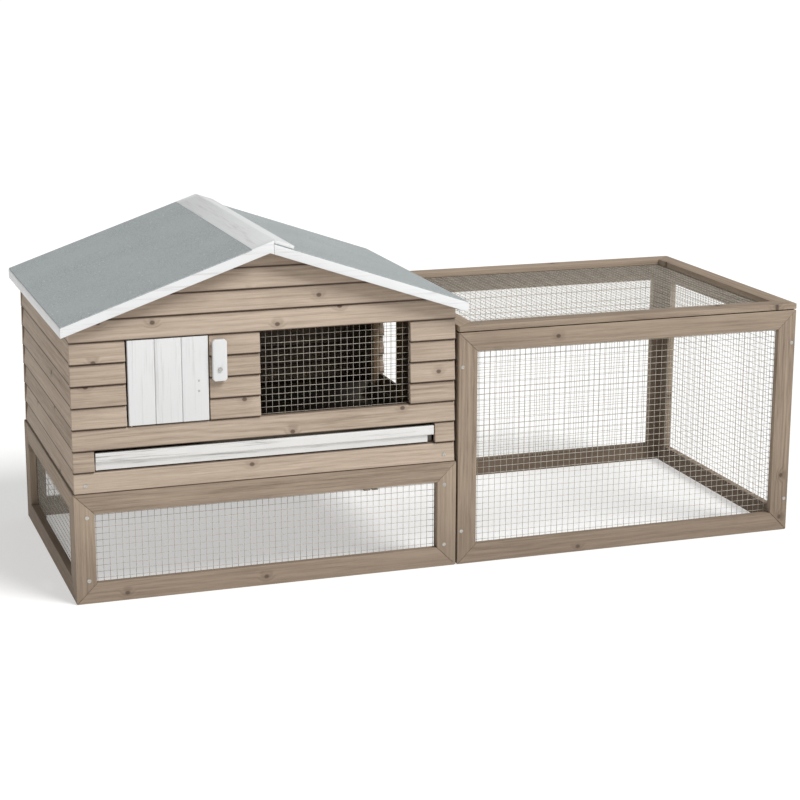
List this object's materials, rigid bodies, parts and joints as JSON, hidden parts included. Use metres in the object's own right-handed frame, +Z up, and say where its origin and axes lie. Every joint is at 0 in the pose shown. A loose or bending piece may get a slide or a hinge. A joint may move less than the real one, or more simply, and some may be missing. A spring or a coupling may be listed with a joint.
{
  "type": "rabbit hutch",
  "caption": "Wooden rabbit hutch: raised gabled house with a small door, mesh window, pull-out tray and opening roof half, joined to a low wire-mesh run.",
  "frame": {"origin": "on the ground, under the centre of the whole object's bounding box", "axes": "+X runs along the front from the house to the run, +Y points from the front to the back, +Z is up"},
  "size_m": [1.55, 0.655, 0.691],
  "materials": {
    "weathered_pine": "grey-brown stained sawn pine",
    "inner_pine": "plain sawn pine",
    "roof_ply": "plain plywood",
    "white_paint": "white painted pine",
    "mineral_felt": "grey-green mineral grit on roofing felt",
    "galvanised_wire": "galvanised",
    "white_tray_metal": "white coated sheet",
    "zinc_steel": "zinc plated"
  },
  "bodies": {
    "house": {"back_gable_boards": "weathered_pine", "back_wall_boards": "weathered_pine", "corner_posts": "weathered_pine", "door_pins": "zinc_steel", "floor_joists": "inner_pine", "floor_planks": "inner_pine", "front_boards_by_door": "weathered_pine", "front_boards_by_window": "weathered_pine", "front_boards_middle": "weathered_pine", "front_bottom_board": "weathered_pine", "front_eaves_board": "weathered_pine", "front_gable_boards": "weathered_pine", "gable_battens": "inner_pine", "joining_bolts": "zinc_steel", "left_side_frame": "weathered_pine", "left_side_mesh": "galvanised_wire", "left_wall_boards": "weathered_pine", "lid_screws": "zinc_steel", "low_back_frame": "weathered_pine", "low_back_mesh": "galvanised_wire", "low_front_frame": "weathered_pine", "low_front_mesh": "galvanised_wire", "opening_battens": "inner_pine", "panel_screws": "zinc_steel", "partition_boards": "inner_pine", "ramp_hinge_brackets": "zinc_steel", "ridge_beam": "inner_pine", "right_roof_felt": "mineral_felt", "right_roof_panel": "roof_ply", "right_roof_trim": "white_paint", "right_side_frame": "weathered_pine", "right_wall_boards": "weathered_pine", "roof_hinge_pins": "zinc_steel", "roof_hinge_wall_leaves": "zinc_steel", "run_back_frame": "weathered_pine", "run_back_mesh": "galvanised_wire", "run_end_stiles": "weathered_pine", "run_front_frame": "weathered_pine", "run_front_mesh": "galvanised_wire", "run_right_frame": "weathered_pine", "run_right_mesh": "galvanised_wire", "run_top_frame": "weathered_pine", "run_top_mesh": "galvanised_wire", "tray_slot_blocks": "weathered_pine", "turn_button_screw": "zinc_steel", "window_mesh": "galvanised_wire", "window_sill_board": "weathered_pine"},
    "door": {"door_boards": "white_paint", "door_ledges": "inner_pine", "door_nails": "zinc_steel"},
    "turn_button": {"turn_button": "white_paint"},
    "tray": {"tray_pan": "white_tray_metal", "tray_front": "white_paint"},
    "left_roof": {"left_roof_panel": "roof_ply", "left_roof_felt": "mineral_felt", "left_roof_trim": "white_paint", "ridge_boards": "white_paint", "roof_hinge_roof_leaves": "zinc_steel"},
    "ramp": {"ramp_board": "inner_pine", "ramp_cleats": "inner_pine"}
  },
  "joints": [
    {"name": "door_hinge", "type": "hinge", "parent": "house", "child": "door", "pos_m": [-0.641, -0.2975, 0.428], "axis": [0, 0, -1], "range_deg": [0, 100]},
    {"name": "turn_button_pivot", "type": "hinge", "parent": "house", "child": "turn_button", "pos_m": [-0.47, -0.3075, 0.445], "axis": [0, -1, 0], "continuous": true},
    {"name": "tray_slide", "type": "slide", "parent": "house", "child": "tray", "axis": [0, -1, 0], "range_m": [0, 0.38]},
    {"name": "left_roof_hinge", "type": "hinge", "parent": "house", "child": "left_roof", "pos_m": [-0.7587, 0, 0.52774], "axis": [0, -1, 0], "range_deg": [0, 95]},
    {"name": "ramp_hinge", "type": "hinge", "parent": "house", "child": "ramp", "pos_m": [-0.051, 0, 0.213], "axis": [0, -1, 0], "range_deg": [0, 28.5]}
  ]
}
